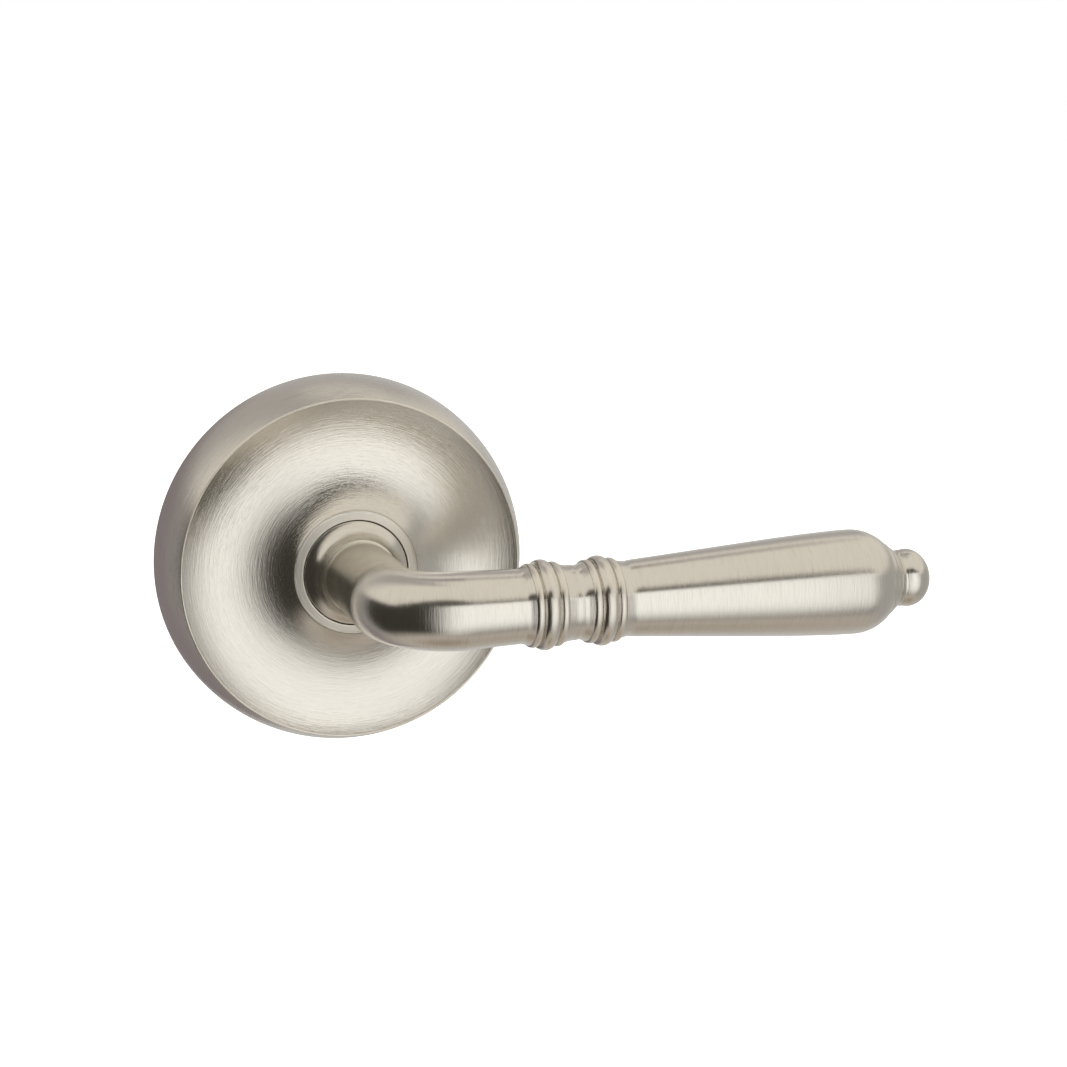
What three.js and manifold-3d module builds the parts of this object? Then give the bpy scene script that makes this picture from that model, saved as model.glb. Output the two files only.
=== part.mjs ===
// Door lever handle on a round rosette, the outside half of a set. Millimetres.
// Origin: spindle axis at the door face. +X along the lever, -Y away from the door, +Z up.
import * as THREE from 'three';
import { mergeVertices } from 'three/addons/utils/BufferGeometryUtils.js';
import Module from 'manifold-3d';

const wasm = await Module();
wasm.setup();

// Driving sizes
const GAP = 0.3;
const ROSETTE_R = 33.35;
const ROSETTE_DEPTH = 12.6;
const WALL = 2.0;
const BORE_R = 9.46;
const PROJECTION = 46.4;
const REACH = 94.7;
const NECK_R = 6.28;
const GRIP_R = 9.08;
const SPINDLE_WIDTH = 8.0;
const SPINDLE_END_Y = 48.0;
const WIRE_R = 0.75;
const TURN_DEG = 50;

// Rosette outline
const RIM_R = ROSETTE_R * 0.915;
const LAND_R = BORE_R + 1.6;
const LAND_Y = -ROSETTE_DEPTH - 1.8;
const LAND_SLOPE_DEG = 40;
const RIM_SLOPE_DEG = 27;
const DISH_REACH = (RIM_R - LAND_R) / 3;
const BORE_Y = LAND_Y - 0.6;
const LIP = 1.6;
const COUNTERBORE_R = BORE_R + 1.44;
const HUB_R = COUNTERBORE_R + 2.6;
const HUB_BACK_Y = BORE_Y + 7.7;

// Stack of pieces behind the hub, front to back
const SHOULDER_Y = HUB_BACK_Y + 0.9;
const BUSH_FLANGE = 0.9;
const WASHER_Y = SHOULDER_Y + 0.6;
const WASHER_THICK = 0.5;
const DRIVER_Y = WASHER_Y + WASHER_THICK + GAP;
const DRIVER_THICK = 1.2;
const PLATE_BACK_Y = -0.2;
const PLATE_THICK = 2.0;
const PLATE_FRONT_Y = PLATE_BACK_Y - PLATE_THICK;
const FLANGE_THICK = 1.0;
const FLANGE_BACK_Y = PLATE_FRONT_Y - GAP / 2;
const FLANGE_FRONT_Y = FLANGE_BACK_Y - FLANGE_THICK;
const CUP_BACK_Y = 8.0;
const CUP_FLOOR = 1.2;
const CLIP_Y = CUP_BACK_Y + 1.7;
const CLIP_THICK = 1.0;
const SHANK_END_Y = CLIP_Y + 5.5;

// Radii of the pieces round the shank
const SOCKET_WIDTH = SPINDLE_WIDTH + GAP;
const SHANK_R = SOCKET_WIDTH * Math.SQRT1_2 + 1.8;
const FOOT_R = BORE_R - GAP;
const COIL_R = SHANK_R + 1.0 + WIRE_R;
const TAB_IN_R = COIL_R + WIRE_R + 0.45;
const TAB_OUT_R = TAB_IN_R + 1.2;
const CUP_IN_R = TAB_OUT_R + 0.5;
const CUP_OUT_R = CUP_IN_R + 1.2;
const FLANGE_R = CUP_OUT_R + 1.2;
const EAR_R = CUP_OUT_R + 3.4;
const POST_R = 3.2;
const POST_HEAD_R = 4.0;
const POST_X = FLANGE_R + POST_HEAD_R + GAP;
const POST_END_Y = 26.0;
const PLATE_R = ROSETTE_R - WALL - 0.5;
const FIX_R = ROSETTE_R - 7.3;
const SCREW_R = 1.2;
const TAB_HALF_DEG = 14;
const PIN_R = 1.0;
const PIN_Y = 0.6;
const FLAT_X = SHANK_R - 0.8;
const SOCKET_Y = SHOULDER_Y - 5.6;
const GRUB_R = 1.5;
const GRUB_Y = (CLIP_Y + CLIP_THICK + SHANK_END_Y) / 2;

// Lever arm
const BEND_R = 10;
const TUBE_END_R = NECK_R - 0.07;

const materials = {
  satinNickel: metal(0xb5aea2, 0.38),
  zincPlate: metal(0xa9adb0, 0.45),
  castZinc: metal(0x8f9296, 0.55),
  springSteel: metal(0x6f7276, 0.35),
  darkScrew: metal(0x4a4b4e, 0.5),
  nylon: new THREE.MeshStandardMaterial({ color: 0xe6e2d6, roughness: 0.55, metalness: 0 }),
};

function metal(color, roughness) {
  return new THREE.MeshStandardMaterial({ color, roughness, metalness: 1 });
}

function solid(geometry) {
  geometry.deleteAttribute('normal');
  geometry.deleteAttribute('uv');
  const welded = mergeVertices(geometry, 1e-4);
  const mesh = new wasm.Mesh({
    numProp: 3,
    vertProperties: Float32Array.from(welded.attributes.position.array),
    triVerts: Uint32Array.from(welded.index.array),
  });
  return new wasm.Manifold(mesh);
}

function geometryOf(shape) {
  const mesh = shape.getMesh();
  const geometry = new THREE.BufferGeometry();
  geometry.setAttribute('position', new THREE.BufferAttribute(mesh.vertProperties, 3));
  geometry.setIndex(new THREE.BufferAttribute(mesh.triVerts, 1));
  geometry.computeVertexNormals();
  return geometry;
}

function v2(r, y) {
  return new THREE.Vector2(r, y);
}

// Ring turned about the spindle axis from a closed outline of (radius, y) points.
function turnedGeometry(outline, segments) {
  const closed = [...outline, outline[0].clone()];
  const area = closed.slice(1).reduce((sum, p, i) => sum + closed[i].cross(p), 0);
  if (area < 0) {
    closed.reverse();
  }
  return new THREE.LatheGeometry(closed, segments);
}

function turned(outline, segments = 48) {
  return solid(turnedGeometry(outline, segments));
}

// Plain ring or disc between two radii and two heights.
function ring(innerR, outerR, y0, y1, segments = 48) {
  return turned([v2(innerR, y0), v2(outerR, y0), v2(outerR, y1), v2(innerR, y1)], segments);
}

function rod(radius, y0, y1, segments = 20) {
  const geometry = new THREE.CylinderGeometry(radius, radius, y1 - y0, segments);
  geometry.translate(0, (y0 + y1) / 2, 0);
  return solid(geometry);
}

function cone(r0, r1, y0, y1, segments = 20) {
  const geometry = new THREE.CylinderGeometry(r1, r0, y1 - y0, segments);
  geometry.translate(0, (y0 + y1) / 2, 0);
  return solid(geometry);
}

function block(x0, x1, y0, y1, z0, z1) {
  const geometry = new THREE.BoxGeometry(x1 - x0, y1 - y0, z1 - z0);
  geometry.translate((x0 + x1) / 2, (y0 + y1) / 2, (z0 + z1) / 2);
  return solid(geometry);
}

// Points of the circular arc round a centre, ends included.
function arc(centre, radius, a0, a1, steps) {
  return Array.from({ length: steps + 1 }, (_, i) => {
    const a = a0 + ((a1 - a0) * i) / steps;
    return v2(centre.x + radius * Math.cos(a), centre.y + radius * Math.sin(a));
  });
}

function angleFrom(centre, p) {
  return Math.atan2(p.y - centre.y, p.x - centre.x);
}

// Place of something at a radius and a clock angle in degrees, 0 along +X and 90 up.
function around(radius, degrees) {
  const a = THREE.MathUtils.degToRad(degrees);
  return [radius * Math.cos(a), 0, radius * Math.sin(a)];
}

// Dished face from the land round the bore out to the rim.
function dishLine() {
  const land = v2(LAND_R, LAND_Y);
  const rim = v2(RIM_R, -ROSETTE_DEPTH);
  const out = v2(DISH_REACH, 0);
  const origin = v2(0, 0);
  const leave = out.clone().rotateAround(origin, THREE.MathUtils.degToRad(LAND_SLOPE_DEG));
  const arrive = out.clone().rotateAround(origin, THREE.MathUtils.degToRad(-RIM_SLOPE_DEG));
  return new THREE.CubicBezierCurve(land, land.clone().add(leave), rim.clone().sub(arrive), rim);
}

function valleyY() {
  return Math.max(...dishLine().getPoints(40).map((p) => p.y));
}

// Back of the dished face, one wall thickness behind it, from the hub to the wall.
function dishBack(steps, wallC, wallR) {
  const line = dishLine();
  const points = Array.from({ length: steps + 1 }, (_, i) => {
    const way = line.getTangent(i / steps);
    return line.getPoint(i / steps).add(v2(-way.y, way.x).multiplyScalar(WALL));
  });
  return points.filter((p) => p.x > HUB_R && p.distanceTo(wallC) < wallR - WALL - 0.2);
}

// Turned brass shell: bulging wall, dished face, raised land round the bore.
function rosette() {
  const back = v2(ROSETTE_R, 0);
  const rim = v2(RIM_R, -ROSETTE_DEPTH);
  const wallDrop = ROSETTE_R - RIM_R;
  const wallR = (ROSETTE_DEPTH ** 2 + wallDrop ** 2) / (2 * wallDrop);
  const wallC = v2(ROSETTE_R - wallR, 0);
  const dish = dishLine().getPoints(14).reverse();
  const backLine = dishBack(14, wallC, wallR);
  const hubCorner = v2(HUB_R, backLine[0].y);
  const outermost = backLine[backLine.length - 1];
  const corner = v2(0, outermost.y);
  corner.x = wallC.x + Math.sqrt((wallR - WALL) ** 2 - (corner.y - wallC.y) ** 2);
  const outline = [
    ...arc(wallC, wallR, angleFrom(wallC, back), angleFrom(wallC, rim), 5),
    ...dish.slice(1),
    v2(BORE_R, BORE_Y),
    v2(BORE_R, BORE_Y + LIP),
    v2(COUNTERBORE_R, BORE_Y + LIP),
    v2(COUNTERBORE_R, HUB_BACK_Y),
    v2(HUB_R, HUB_BACK_Y),
    hubCorner,
    ...backLine,
    ...arc(wallC, wallR - WALL, angleFrom(wallC, corner), 0, 3),
  ];
  const bossTop = valleyY() + Math.min(0.5, WALL / 2);
  let shape = turned(outline, 56);
  for (const place of fixPlaces()) {
    const boss = rod(SCREW_R + 1.3, bossTop, PLATE_FRONT_Y - GAP, 16);
    shape = shape.add(boss.translate(place));
    const hole = rod(SCREW_R + GAP, bossTop + 0.7, PLATE_FRONT_Y, 12);
    shape = shape.subtract(hole.translate(place));
  }
  return shape;
}

function fixPlaces() {
  return [45, 135, 225, 315].map((degrees) => around(FIX_R, degrees));
}

function earPlaces() {
  return [90, 270].map((degrees) => around(EAR_R, degrees));
}

// Flanged nylon sleeve that the foot of the lever turns in.
function bearingBush() {
  const sleeveR = COUNTERBORE_R - GAP;
  const frontY = BORE_Y + LIP + GAP;
  const flangeY = HUB_BACK_Y + GAP;
  return turned([
    v2(FOOT_R + GAP, frontY),
    v2(sleeveR, frontY),
    v2(sleeveR, flangeY),
    v2(sleeveR + 2.0, flangeY),
    v2(sleeveR + 2.0, flangeY + BUSH_FLANGE),
    v2(FOOT_R + GAP, flangeY + BUSH_FLANGE),
  ], 36);
}

// Pressed steel disc that closes the back of the rosette.
function mountingPlate() {
  let plate = ring(CUP_OUT_R + GAP, PLATE_R, PLATE_FRONT_Y, PLATE_BACK_Y, 48);
  const low = PLATE_FRONT_Y - 1;
  const high = PLATE_BACK_Y + 1;
  for (const side of [-1, 1]) {
    plate = plate.subtract(rod(POST_R + GAP, low, high).translate([side * POST_X, 0, 0]));
  }
  for (const place of fixPlaces()) {
    plate = plate.subtract(rod(SCREW_R + GAP, low, high, 16).translate(place));
    const sink = cone(SCREW_R, SCREW_R + 1.95, PLATE_BACK_Y - 1.65, PLATE_BACK_Y + 0.3, 16);
    plate = plate.subtract(sink.translate(place));
  }
  for (const place of earPlaces()) {
    plate = plate.subtract(rod(SCREW_R + GAP, low, high, 16).translate(place));
  }
  return plate;
}

// Cast cup that holds the spring, with two fixing ears on its flange.
function springCup() {
  const holeR = SHANK_R + GAP;
  let cup = turned([
    v2(CUP_IN_R, FLANGE_FRONT_Y),
    v2(FLANGE_R, FLANGE_FRONT_Y),
    v2(FLANGE_R, FLANGE_BACK_Y),
    v2(CUP_OUT_R, FLANGE_BACK_Y),
    v2(CUP_OUT_R, CUP_BACK_Y),
    v2(holeR, CUP_BACK_Y),
    v2(holeR, CUP_BACK_Y - CUP_FLOOR),
    v2(CUP_IN_R, CUP_BACK_Y - CUP_FLOOR),
  ], 40);
  const earHalf = 3.2;
  for (const side of [-1, 1]) {
    const z = [side * (CUP_IN_R + 0.8), side * EAR_R].sort((a, b) => a - b);
    const ear = block(-earHalf, earHalf, FLANGE_FRONT_Y, FLANGE_BACK_Y, z[0], z[1]);
    const tip = rod(earHalf, FLANGE_FRONT_Y, FLANGE_BACK_Y).translate([0, 0, side * EAR_R]);
    cup = cup.add(ear).add(tip);
  }
  for (const place of earPlaces()) {
    const hole = rod(SCREW_R + GAP, FLANGE_FRONT_Y - 1, FLANGE_BACK_Y + 1, 16);
    cup = cup.subtract(hole.translate(place));
  }
  for (const degrees of pinAngles()) {
    const hole = radialRod(PIN_R + GAP, CUP_IN_R - 1, CUP_OUT_R + 1, PIN_Y, degrees);
    cup = cup.subtract(hole);
  }
  const slotHalf = WIRE_R + GAP;
  const slot = block(CUP_IN_R - 1, CUP_OUT_R + 1, backLegY() - slotHalf, backLegY() + slotHalf,
    -slotHalf, slotHalf);
  return cup.subtract(slot.rotate([0, -backLegDeg(), 0]));
}

// Rod pointing outwards from the spindle axis at a clock angle.
function radialRod(radius, fromR, toR, y, degrees) {
  const upright = rod(radius, fromR, toR, 16);
  return upright.rotate([0, 0, -90]).rotate([0, -degrees, 0]).translate([0, y, 0]);
}

function pinAngles() {
  const clear = TAB_HALF_DEG + THREE.MathUtils.radToDeg((GAP + PIN_R) / TAB_IN_R);
  return [90 + clear, 90 - TURN_DEG - clear];
}

function stopPin(degrees) {
  return radialRod(PIN_R, TAB_IN_R + 0.1, CUP_OUT_R - 0.1, PIN_Y, degrees);
}

// Countersunk screw from the back of the plate into the rosette.
function plateScrew() {
  const headY = PLATE_BACK_Y - 0.2;
  const tipY = valleyY() + Math.min(0.5, WALL / 2) + 1.1;
  const head = cone(SCREW_R, SCREW_R + 1.3, headY - 1.3, headY, 16);
  const recess = rod(0.55, headY - 0.8, headY + 1, 6);
  return rod(SCREW_R, tipY, headY - 1.2, 16).add(head).subtract(recess);
}

// Pan-head screw through an ear of the cup into the plate.
function cupScrew() {
  const underHead = FLANGE_FRONT_Y - GAP / 2;
  const headTop = underHead - 1.2;
  const head = cone(SCREW_R + 0.5, SCREW_R + 1.1, headTop, underHead, 16);
  const recess = rod(0.6, headTop - 1, headTop + 0.7, 6);
  return rod(SCREW_R, underHead - 0.1, PLATE_BACK_Y, 16).add(head).subtract(recess);
}

// Internally threaded post that takes a through bolt from the far side of the door.
function post() {
  const headBack = PLATE_FRONT_Y - GAP / 2;
  const headFront = headBack - 1.1;
  const boreR = 1.75;
  const bottomY = POST_END_Y - 20;
  return turned([
    v2(0, headFront),
    v2(POST_HEAD_R - 0.3, headFront),
    v2(POST_HEAD_R, headFront + 0.3),
    v2(POST_HEAD_R, headBack),
    v2(POST_R, headBack),
    v2(POST_R, POST_END_Y - 0.5),
    v2(POST_R - 0.5, POST_END_Y),
    v2(boreR, POST_END_Y),
    v2(boreR, bottomY),
    v2(0, bottomY + 0.8),
  ], 20);
}

function frontLegY() {
  return DRIVER_Y + DRIVER_THICK + GAP + WIRE_R;
}

function frontLegDeg() {
  const clear = THREE.MathUtils.radToDeg((GAP + WIRE_R) / COIL_R);
  return 90 - TAB_HALF_DEG - clear;
}

function backLegY() {
  return CUP_BACK_Y - CUP_FLOOR - GAP - WIRE_R;
}

function backLegDeg() {
  return frontLegDeg() + 360 * 4;
}

// Torsion spring wound round the shank, each end bent straight out.
class SpringLine extends THREE.Curve {
  getPoint(t, target = new THREE.Vector3()) {
    const share = 0.03;
    const u = THREE.MathUtils.clamp((t - share) / (1 - 2 * share), 0, 1);
    const y = THREE.MathUtils.lerp(frontLegY(), backLegY(), u);
    const degrees = THREE.MathUtils.lerp(frontLegDeg(), backLegDeg(), u);
    const frontOut = Math.max(0, 1 - t / share) * (TAB_OUT_R - COIL_R);
    const backOut = Math.max(0, 1 - (1 - t) / share) * (CUP_OUT_R - COIL_R);
    const [x, , z] = around(COIL_R + frontOut + backOut, degrees);
    return target.set(x, y, z);
  }
}

function circleShape(radius, segments) {
  const points = arc(v2(0, 0), radius, 0, 2 * Math.PI, segments).slice(0, -1);
  return new THREE.Shape(points);
}

function sweep(curve, radius, sides, steps) {
  const geometry = new THREE.ExtrudeGeometry(circleShape(radius, sides), {
    extrudePath: curve,
    steps,
    bevelEnabled: false,
  });
  return solid(geometry);
}

function returnSpring() {
  return sweep(new SpringLine(), WIRE_R, 7, 104);
}

// Steel disc keyed to the shank by two flats, with a tab bent back to push the spring.
function springDriver() {
  const backY = DRIVER_Y + DRIVER_THICK;
  let disc = ring(SHANK_R + GAP, TAB_OUT_R, DRIVER_Y, backY, 36);
  for (const side of [-1, 1]) {
    const x = [side * (FLAT_X + GAP), side * (SHANK_R + 1)].sort((a, b) => a - b);
    disc = disc.add(block(x[0], x[1], DRIVER_Y, backY, -4, 4));
  }
  const tabBackY = PIN_Y + PIN_R + 0.4;
  const wedge = new THREE.Shape();
  const half = THREE.MathUtils.degToRad(TAB_HALF_DEG);
  wedge.absarc(0, 0, TAB_OUT_R, Math.PI / 2 - half, Math.PI / 2 + half, false);
  wedge.absarc(0, 0, TAB_IN_R, Math.PI / 2 + half, Math.PI / 2 - half, true);
  const tab = new THREE.ExtrudeGeometry(wedge, {
    depth: tabBackY - DRIVER_Y - 0.1,
    bevelEnabled: false,
    curveSegments: 6,
  });
  tab.rotateX(Math.PI / 2);
  tab.translate(0, tabBackY, 0);
  return disc.add(solid(tab));
}

function thrustWasher() {
  return ring(SHANK_R + GAP, TAB_OUT_R - 0.4, WASHER_Y, WASHER_Y + WASHER_THICK, 36);
}

// Springy washer with three waves, between the cup and the retaining ring.
function waveWasher() {
  const inner = SHANK_R + GAP;
  const outer = inner + 2.6;
  const thick = 0.4;
  const middle = (CUP_BACK_Y + CLIP_Y) / 2;
  const front = middle - thick / 2;
  const back = middle + thick / 2;
  const outline = [v2(inner, front), v2(outer, front), v2(outer, back), v2(inner, back)];
  const geometry = turnedGeometry(outline, 36);
  const lift = 0.22;
  const places = geometry.attributes.position;
  for (let i = 0; i < places.count; i += 1) {
    const wave = lift * Math.sin(3 * Math.atan2(places.getZ(i), places.getX(i)));
    places.setY(i, places.getY(i) + wave);
  }
  return solid(geometry);
}

// Open ring snapped into the groove at the end of the shank.
function retainingRing() {
  const whole = ring(SHANK_R - 0.7 + GAP, SHANK_R + 2.2, CLIP_Y, CLIP_Y + CLIP_THICK, 36);
  const mouth = block(-2.4, 2.4, CLIP_Y - 1, CLIP_Y + CLIP_THICK + 1, -SHANK_R - 4, 0);
  return whole.subtract(mouth);
}

// Square bar with a tapered end, from the socket in the lever to the lock and beyond.
function spindle() {
  const frontY = SOCKET_Y + 0.5;
  const half = SPINDLE_WIDTH / 2;
  const taper = 3;
  const slope = 0.3;
  const tipHalf = half - taper * slope;
  const wideHalf = tipHalf + 4 * taper * slope;
  const bar = block(-half, half, frontY, SPINDLE_END_Y, -half, half);
  const shaft = block(-half, half, frontY, SPINDLE_END_Y - 2 * taper, -half, half);
  const tip = cone(wideHalf * Math.SQRT2, tipHalf * Math.SQRT2, SPINDLE_END_Y - 4 * taper,
    SPINDLE_END_Y, 4);
  return bar.intersect(tip.rotate([0, 45, 0]).add(shaft));
}

// Headless screw that clamps the spindle in the shank.
function grubScrew() {
  return radialRod(GRUB_R, SPINDLE_WIDTH / 2 + 0.15, SHANK_R - 0.2, GRUB_Y, 270);
}

// A bead standing on a turned outline: half an ellipse round a place on the arm.
function bead(x, halfWidth, baseR, topR, steps) {
  return arc(v2(0, 0), 1, Math.PI, 0, steps).map((p) =>
    v2(baseR + (topR - baseR) * p.y, x + halfWidth * p.x));
}

// Three turned beads, the middle one wide and high.
function beadGroup(x) {
  return [
    v2(TUBE_END_R, x - 3.9),
    ...bead(x - 2.1, 0.7, TUBE_END_R + 0.4, TUBE_END_R + 0.82, 4),
    ...bead(x, 1.3, TUBE_END_R + 0.5, TUBE_END_R + 1.38, 6),
    ...bead(x + 2.1, 0.7, TUBE_END_R + 0.45, TUBE_END_R + 0.9, 4),
    v2(TUBE_END_R + 0.12, x + 4.3),
  ];
}

// Slender grip that swells to its end, then a dome, a stepped collar and a button finial.
function gripOutline() {
  const crown = v2(GRIP_R, REACH - 14.6);
  const start = v2(TUBE_END_R + 0.28, REACH - 54.8);
  const swell = new THREE.CubicBezierCurve(start, v2(start.x + 1.05, start.y + 15),
    v2(crown.x - 0.05, crown.y - 9), crown).getPoints(8);
  const domeR = 8.2;
  const collarX = REACH - 9.3;
  const domeEnd = Math.asin((collarX - crown.y) / domeR);
  const buttonR = GRIP_R * 0.556;
  const buttonHalf = 3.9;
  return [
    ...swell,
    ...arc(v2(crown.x - domeR, crown.y), domeR, 0, domeEnd, 5).slice(1),
    v2(GRIP_R * 0.755, collarX + 0.15),
    v2(GRIP_R * 0.7, REACH - 8.2),
    v2(GRIP_R * 0.66, REACH - 8.0),
    v2(GRIP_R * 0.61, REACH - 7.2),
    v2(GRIP_R * 0.525, REACH - 6.4),
    v2(GRIP_R * 0.515, REACH - 5.9),
    v2(GRIP_R * 0.545, REACH - 5.4),
    ...arc(v2(0, 0), 1, -0.4, Math.PI / 2, 8).map((p) =>
      v2(p.x * buttonR, REACH + (p.y - 1) * buttonHalf)),
  ];
}

// Bends a straight turned bar through a right angle, from -Y round to +X.
function bent(geometry) {
  const straight = PROJECTION - BEND_R;
  const length = (BEND_R * Math.PI) / 2;
  const places = geometry.attributes.position;
  for (let i = 0; i < places.count; i += 1) {
    const beyond = -places.getY(i) - straight;
    const turn = THREE.MathUtils.clamp(beyond / BEND_R, 0, Math.PI / 2);
    const toCentre = BEND_R - places.getX(i);
    const along = Math.max(0, beyond - length);
    const x = BEND_R - toCentre * Math.cos(turn) + along;
    const y = -straight - toCentre * Math.sin(turn);
    places.setX(i, x);
    places.setY(i, beyond < 0 ? places.getY(i) : y);
  }
  return geometry;
}

// Forged brass lever: shank, foot, neck, elbow, arm and grip in one piece.
function lever() {
  const straight = PROJECTION - BEND_R;
  const bendEnd = straight + (BEND_R * Math.PI) / 2;
  const flare = new THREE.QuadraticBezierCurve(v2(FOOT_R, BORE_Y + 0.2),
    v2(NECK_R + 0.9, BORE_Y - 0.9), v2(NECK_R + 0.35, BORE_Y - 3.4)).getPoints(5);
  const elbow = new THREE.QuadraticBezierCurve(v2(NECK_R + 0.3, -straight),
    v2(NECK_R + 0.6, -(straight + bendEnd) / 2), v2(NECK_R + 0.28, -bendEnd)).getPoints(12);
  const armLine = [
    ...beadGroup(REACH * 0.2534),
    ...beadGroup(REACH * 0.359),
    ...gripOutline(),
  ].map((p) => v2(p.x, BEND_R - bendEnd - p.y));
  const bar = bent(turnedGeometry([
    v2(0, SHANK_END_Y),
    v2(SHANK_R - 0.4, SHANK_END_Y),
    v2(SHANK_R, SHANK_END_Y - 0.4),
    v2(SHANK_R, SHOULDER_Y),
    v2(FOOT_R, SHOULDER_Y),
    ...flare,
    v2(NECK_R, BORE_Y - 3.6),
    ...elbow,
    ...armLine,
  ], 40));
  const half = SOCKET_WIDTH / 2;
  let shape = solid(bar).subtract(block(-half, half, SOCKET_Y, SHANK_END_Y + 1, -half, half));
  const groove = ring(SHANK_R - 0.7, SHANK_R + 1, CLIP_Y - 0.2, CLIP_Y + CLIP_THICK + 0.2);
  shape = shape.subtract(groove);
  for (const side of [-1, 1]) {
    const x = [side * FLAT_X, side * (SHANK_R + 1)].sort((a, b) => a - b);
    const flat = block(x[0], x[1], SHOULDER_Y + 0.3, DRIVER_Y + DRIVER_THICK + 0.3, -9, 9);
    shape = shape.subtract(flat);
  }
  const hole = radialRod(GRUB_R + GAP, SPINDLE_WIDTH / 2, SHANK_R + 1, GRUB_Y, 270);
  return shape.subtract(hole);
}

const group = new THREE.Group();

function put(name, shape, material) {
  const mesh = new THREE.Mesh(geometryOf(shape), materials[material]);
  mesh.name = name;
  group.add(mesh);
}

put('rosette', rosette(), 'satinNickel');
put('bearing_bush', bearingBush(), 'nylon');
put('mounting_plate', mountingPlate(), 'zincPlate');
put('spring_cup', springCup(), 'castZinc');
put('return_spring', returnSpring(), 'springSteel');
fixPlaces().forEach((place, i) => {
  put(`plate_screw_${i + 1}`, plateScrew().translate(place), 'darkScrew');
});
earPlaces().forEach((place, i) => {
  put(`cup_screw_${i + 1}`, cupScrew().translate(place), 'zincPlate');
});
pinAngles().forEach((degrees, i) => {
  put(`stop_pin_${i + 1}`, stopPin(degrees), 'springSteel');
});
put('post_left', post().translate([-POST_X, 0, 0]), 'zincPlate');
put('post_right', post().translate([POST_X, 0, 0]), 'zincPlate');
put('lever', lever(), 'satinNickel');
put('thrust_washer', thrustWasher(), 'nylon');
put('spring_driver', springDriver(), 'zincPlate');
put('wave_washer', waveWasher(), 'springSteel');
put('retaining_ring', retainingRing(), 'springSteel');
put('spindle', spindle(), 'zincPlate');
put('grub_screw', grubScrew(), 'darkScrew');

export default group;
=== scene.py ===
import math
import bpy
import bmesh
from mathutils import Matrix, Vector


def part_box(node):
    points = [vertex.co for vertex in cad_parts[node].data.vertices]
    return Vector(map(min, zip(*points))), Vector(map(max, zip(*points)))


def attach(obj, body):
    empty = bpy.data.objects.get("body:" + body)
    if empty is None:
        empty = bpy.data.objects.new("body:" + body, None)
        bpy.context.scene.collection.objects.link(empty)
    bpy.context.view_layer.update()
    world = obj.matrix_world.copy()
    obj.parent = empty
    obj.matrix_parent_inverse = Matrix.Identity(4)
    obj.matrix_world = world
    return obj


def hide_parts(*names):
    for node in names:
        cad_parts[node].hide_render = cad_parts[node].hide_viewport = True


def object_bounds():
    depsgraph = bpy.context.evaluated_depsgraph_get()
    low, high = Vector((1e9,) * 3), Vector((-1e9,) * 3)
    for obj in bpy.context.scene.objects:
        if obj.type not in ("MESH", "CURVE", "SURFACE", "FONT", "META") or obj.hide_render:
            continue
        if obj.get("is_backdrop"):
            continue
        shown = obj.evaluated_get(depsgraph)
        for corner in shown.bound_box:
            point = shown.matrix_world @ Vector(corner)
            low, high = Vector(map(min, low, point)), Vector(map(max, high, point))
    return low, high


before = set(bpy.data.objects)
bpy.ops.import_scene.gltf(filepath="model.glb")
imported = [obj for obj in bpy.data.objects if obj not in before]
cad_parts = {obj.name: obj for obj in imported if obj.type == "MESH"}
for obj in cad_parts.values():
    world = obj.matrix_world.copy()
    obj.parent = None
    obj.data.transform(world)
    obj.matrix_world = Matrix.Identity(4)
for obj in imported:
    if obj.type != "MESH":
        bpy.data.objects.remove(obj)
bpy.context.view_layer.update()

# ---------------------------------------------------------------------------------------
# Camera: a long lens a little to the left of the handle and above it, looking down
# at the elbow of the lever.
MM = 0.001
aim = Vector((29.4, -25.0, 7.3)) * MM
camera_distance = 400 * MM
azimuth, elevation, roll = (math.radians(a) for a in (17.82, 12.30, 0.16))
back = Vector((
    -math.sin(azimuth) * math.cos(elevation),
    -math.cos(azimuth) * math.cos(elevation),
    math.sin(elevation),
))
level_right = Vector((0, 0, 1)).cross(back).normalized()
level_up = back.cross(level_right)
right = level_right * math.cos(roll) + level_up * math.sin(roll)
up = level_up * math.cos(roll) - level_right * math.sin(roll)

lens = bpy.data.cameras.new("camera")
lens.sensor_width = 36
lens.lens = 77.26
lens.clip_start = 0.01
camera = bpy.data.objects.new("camera", lens)
camera.matrix_world = Matrix.Translation(aim + back * camera_distance) @ Matrix((
    (right.x, up.x, back.x, 0),
    (right.y, up.y, back.y, 0),
    (right.z, up.z, back.z, 0),
    (0, 0, 0, 1),
))
scene = bpy.context.scene
scene.collection.objects.link(camera)
scene.camera = camera
scene.view_settings.view_transform = "Standard"


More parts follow.
